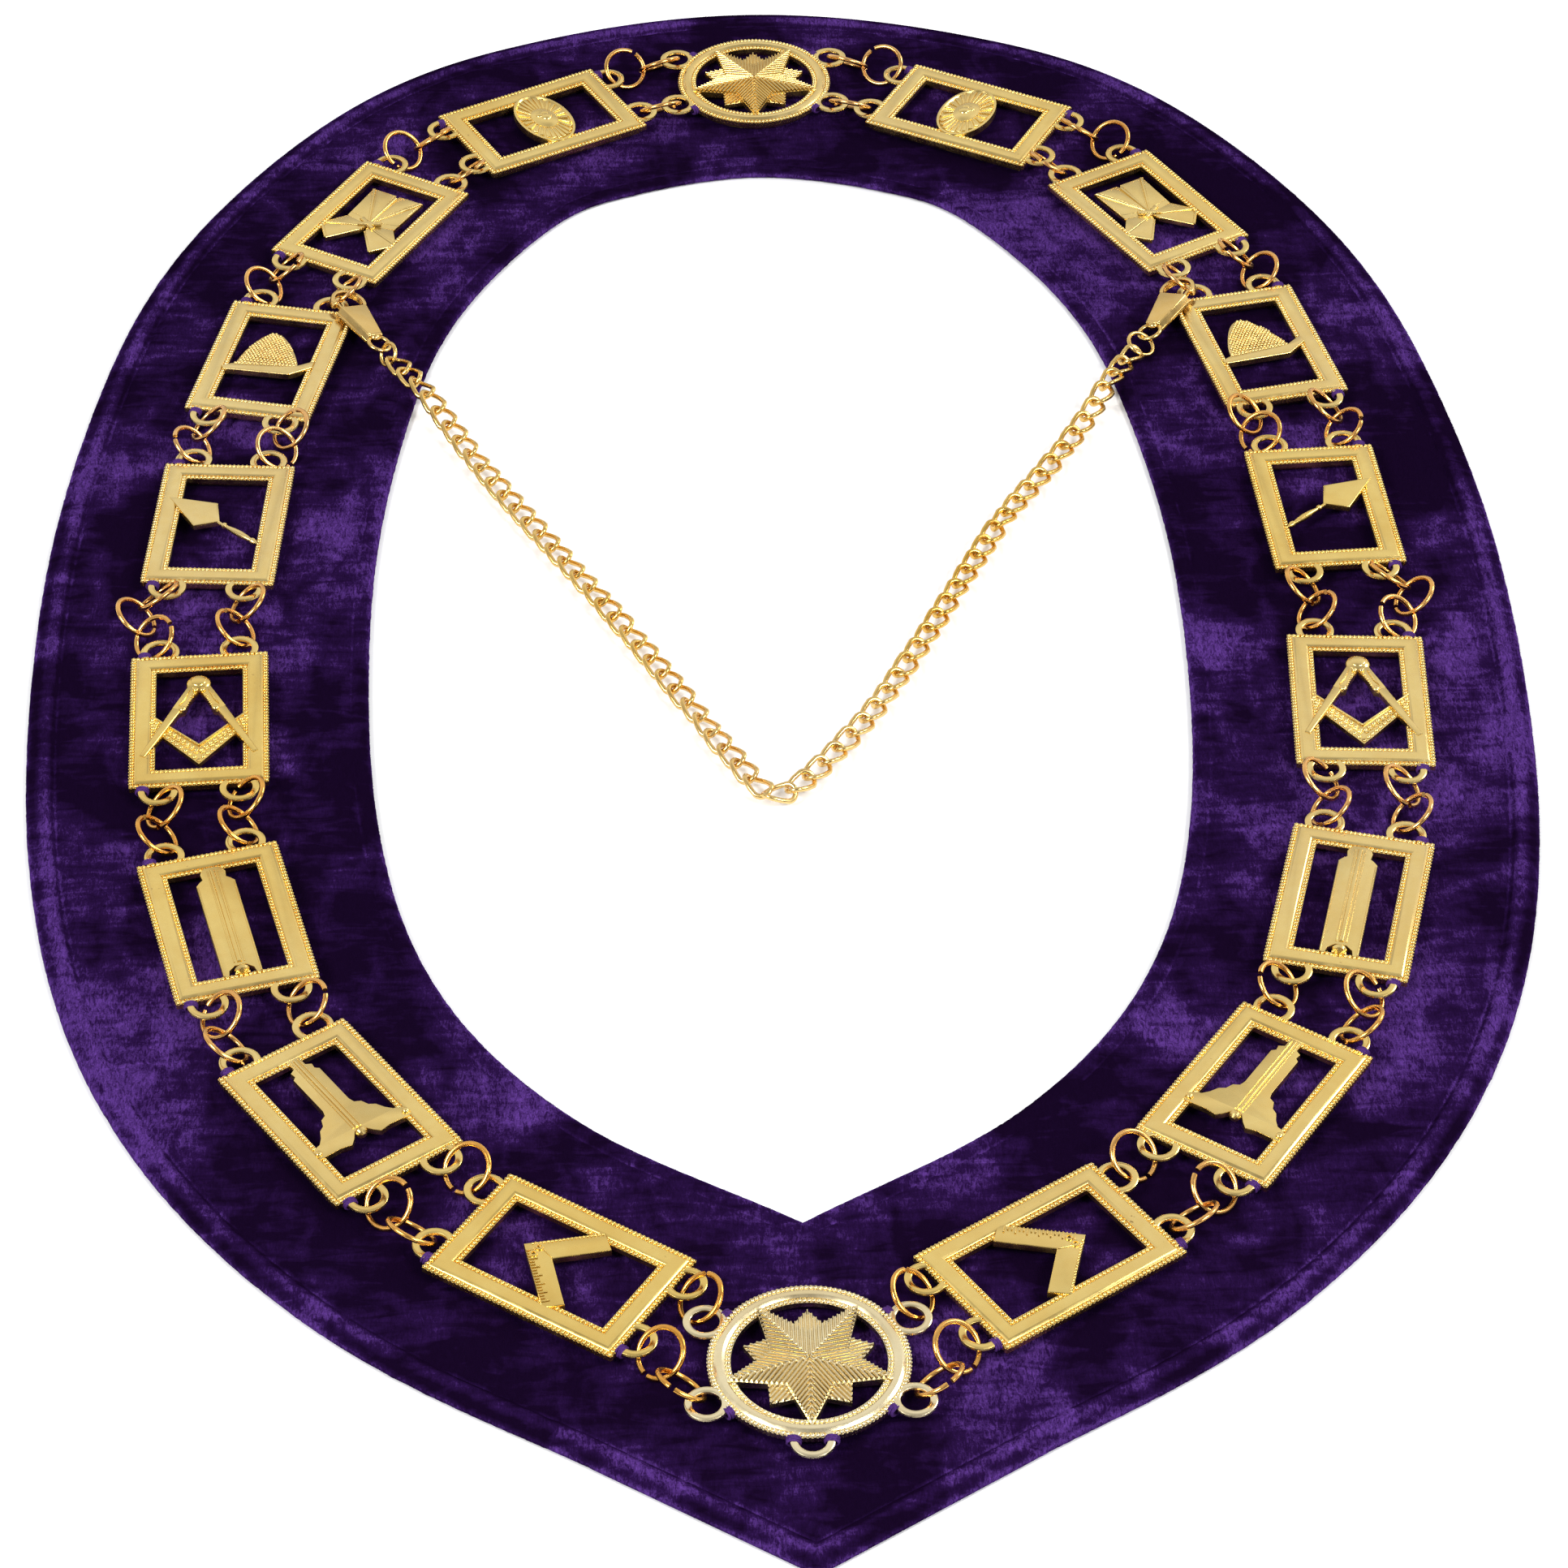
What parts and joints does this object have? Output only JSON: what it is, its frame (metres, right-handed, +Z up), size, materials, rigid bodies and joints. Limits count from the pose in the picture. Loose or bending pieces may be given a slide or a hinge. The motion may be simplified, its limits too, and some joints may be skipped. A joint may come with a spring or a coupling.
{
  "type": "chain collar",
  "caption": "Velvet regalia collar, rounded at the back and pointed in front, with framed openwork emblem plates, star medallions, jump rings and a safety chain on snap hooks.",
  "frame": {"origin": "middle of the collar's outline, on the surface that its underside lies on", "axes": "+Z up from the surface, +Y towards the back of the neck, so that the point of the V is towards -Y, +X to the right in the picture"},
  "size_m": [0.3872, 0.6154, 0.0107],
  "materials": {
    "velvet": "crushed pile velvet",
    "plate": "polished pale gilt",
    "medallion": "polished champagne gilt",
    "ring": "polished orange gilt",
    "chain": "polished gilt"
  },
  "bodies": {
    "collar": {"velvet_collar": "velvet", "plate_left_oval": "plate", "plate_left_fan": "plate", "plate_left_beehive": "plate", "plate_left_trowel": "plate", "plate_left_compasses": "plate", "plate_left_plumb": "plate", "plate_left_level": "plate", "plate_left_square": "plate", "plate_right_oval": "plate", "plate_right_fan": "plate", "plate_right_beehive": "plate", "plate_right_trowel": "plate", "plate_right_compasses": "plate", "plate_right_plumb": "plate", "plate_right_level": "plate", "plate_right_square": "plate", "medallion_back": "medallion", "medallion_front": "medallion", "rings_left_1_inner": "ring", "rings_left_1_outer": "ring", "rings_left_2_inner": "ring", "rings_left_2_outer": "ring", "rings_left_3_inner": "ring", "rings_left_3_outer": "ring", "rings_left_4_inner": "ring", "rings_left_4_outer": "ring", "rings_left_5_inner": "ring", "rings_left_5_outer": "ring", "rings_left_6_inner": "ring", "rings_left_6_outer": "ring", "rings_left_7_inner": "ring", "rings_left_7_outer": "ring", "rings_left_8_inner": "ring", "rings_left_8_outer": "ring", "rings_left_9_inner": "ring", "rings_left_9_outer": "ring", "rings_right_1_inner": "ring", "rings_right_1_outer": "ring", "rings_right_2_inner": "ring", "rings_right_2_outer": "ring", "rings_right_3_inner": "ring", "rings_right_3_outer": "ring", "rings_right_4_inner": "ring", "rings_right_4_outer": "ring", "rings_right_5_inner": "ring", "rings_right_5_outer": "ring", "rings_right_6_inner": "ring", "rings_right_6_outer": "ring", "rings_right_7_inner": "ring", "rings_right_7_outer": "ring", "rings_right_8_inner": "ring", "rings_right_8_outer": "ring", "rings_right_9_inner": "ring", "rings_right_9_outer": "ring", "safety_chain": "chain", "clasp_left": "ring", "clasp_right": "ring"},
    "lever_left": {"clasp_lever_left": "ring"},
    "lever_right": {"clasp_lever_right": "ring"}
  },
  "joints": [
    {"name": "lever_right_hinge", "type": "hinge", "parent": "collar", "child": "lever_right", "pos_m": [0.11784, 0.1443, 0.00823], "axis": [-0.3139, 0.006, 0.9494], "range_deg": [0, 22], "stiffness_Nm_per_rad": 0.002, "springref_deg": -11.46},
    {"name": "lever_left_hinge", "type": "hinge", "parent": "collar", "child": "lever_left", "pos_m": [-0.11784, 0.1443, 0.00823], "axis": [-0.3139, -0.006, -0.9494], "range_deg": [0, 22], "stiffness_Nm_per_rad": 0.002, "springref_deg": -11.46}
  ]
}
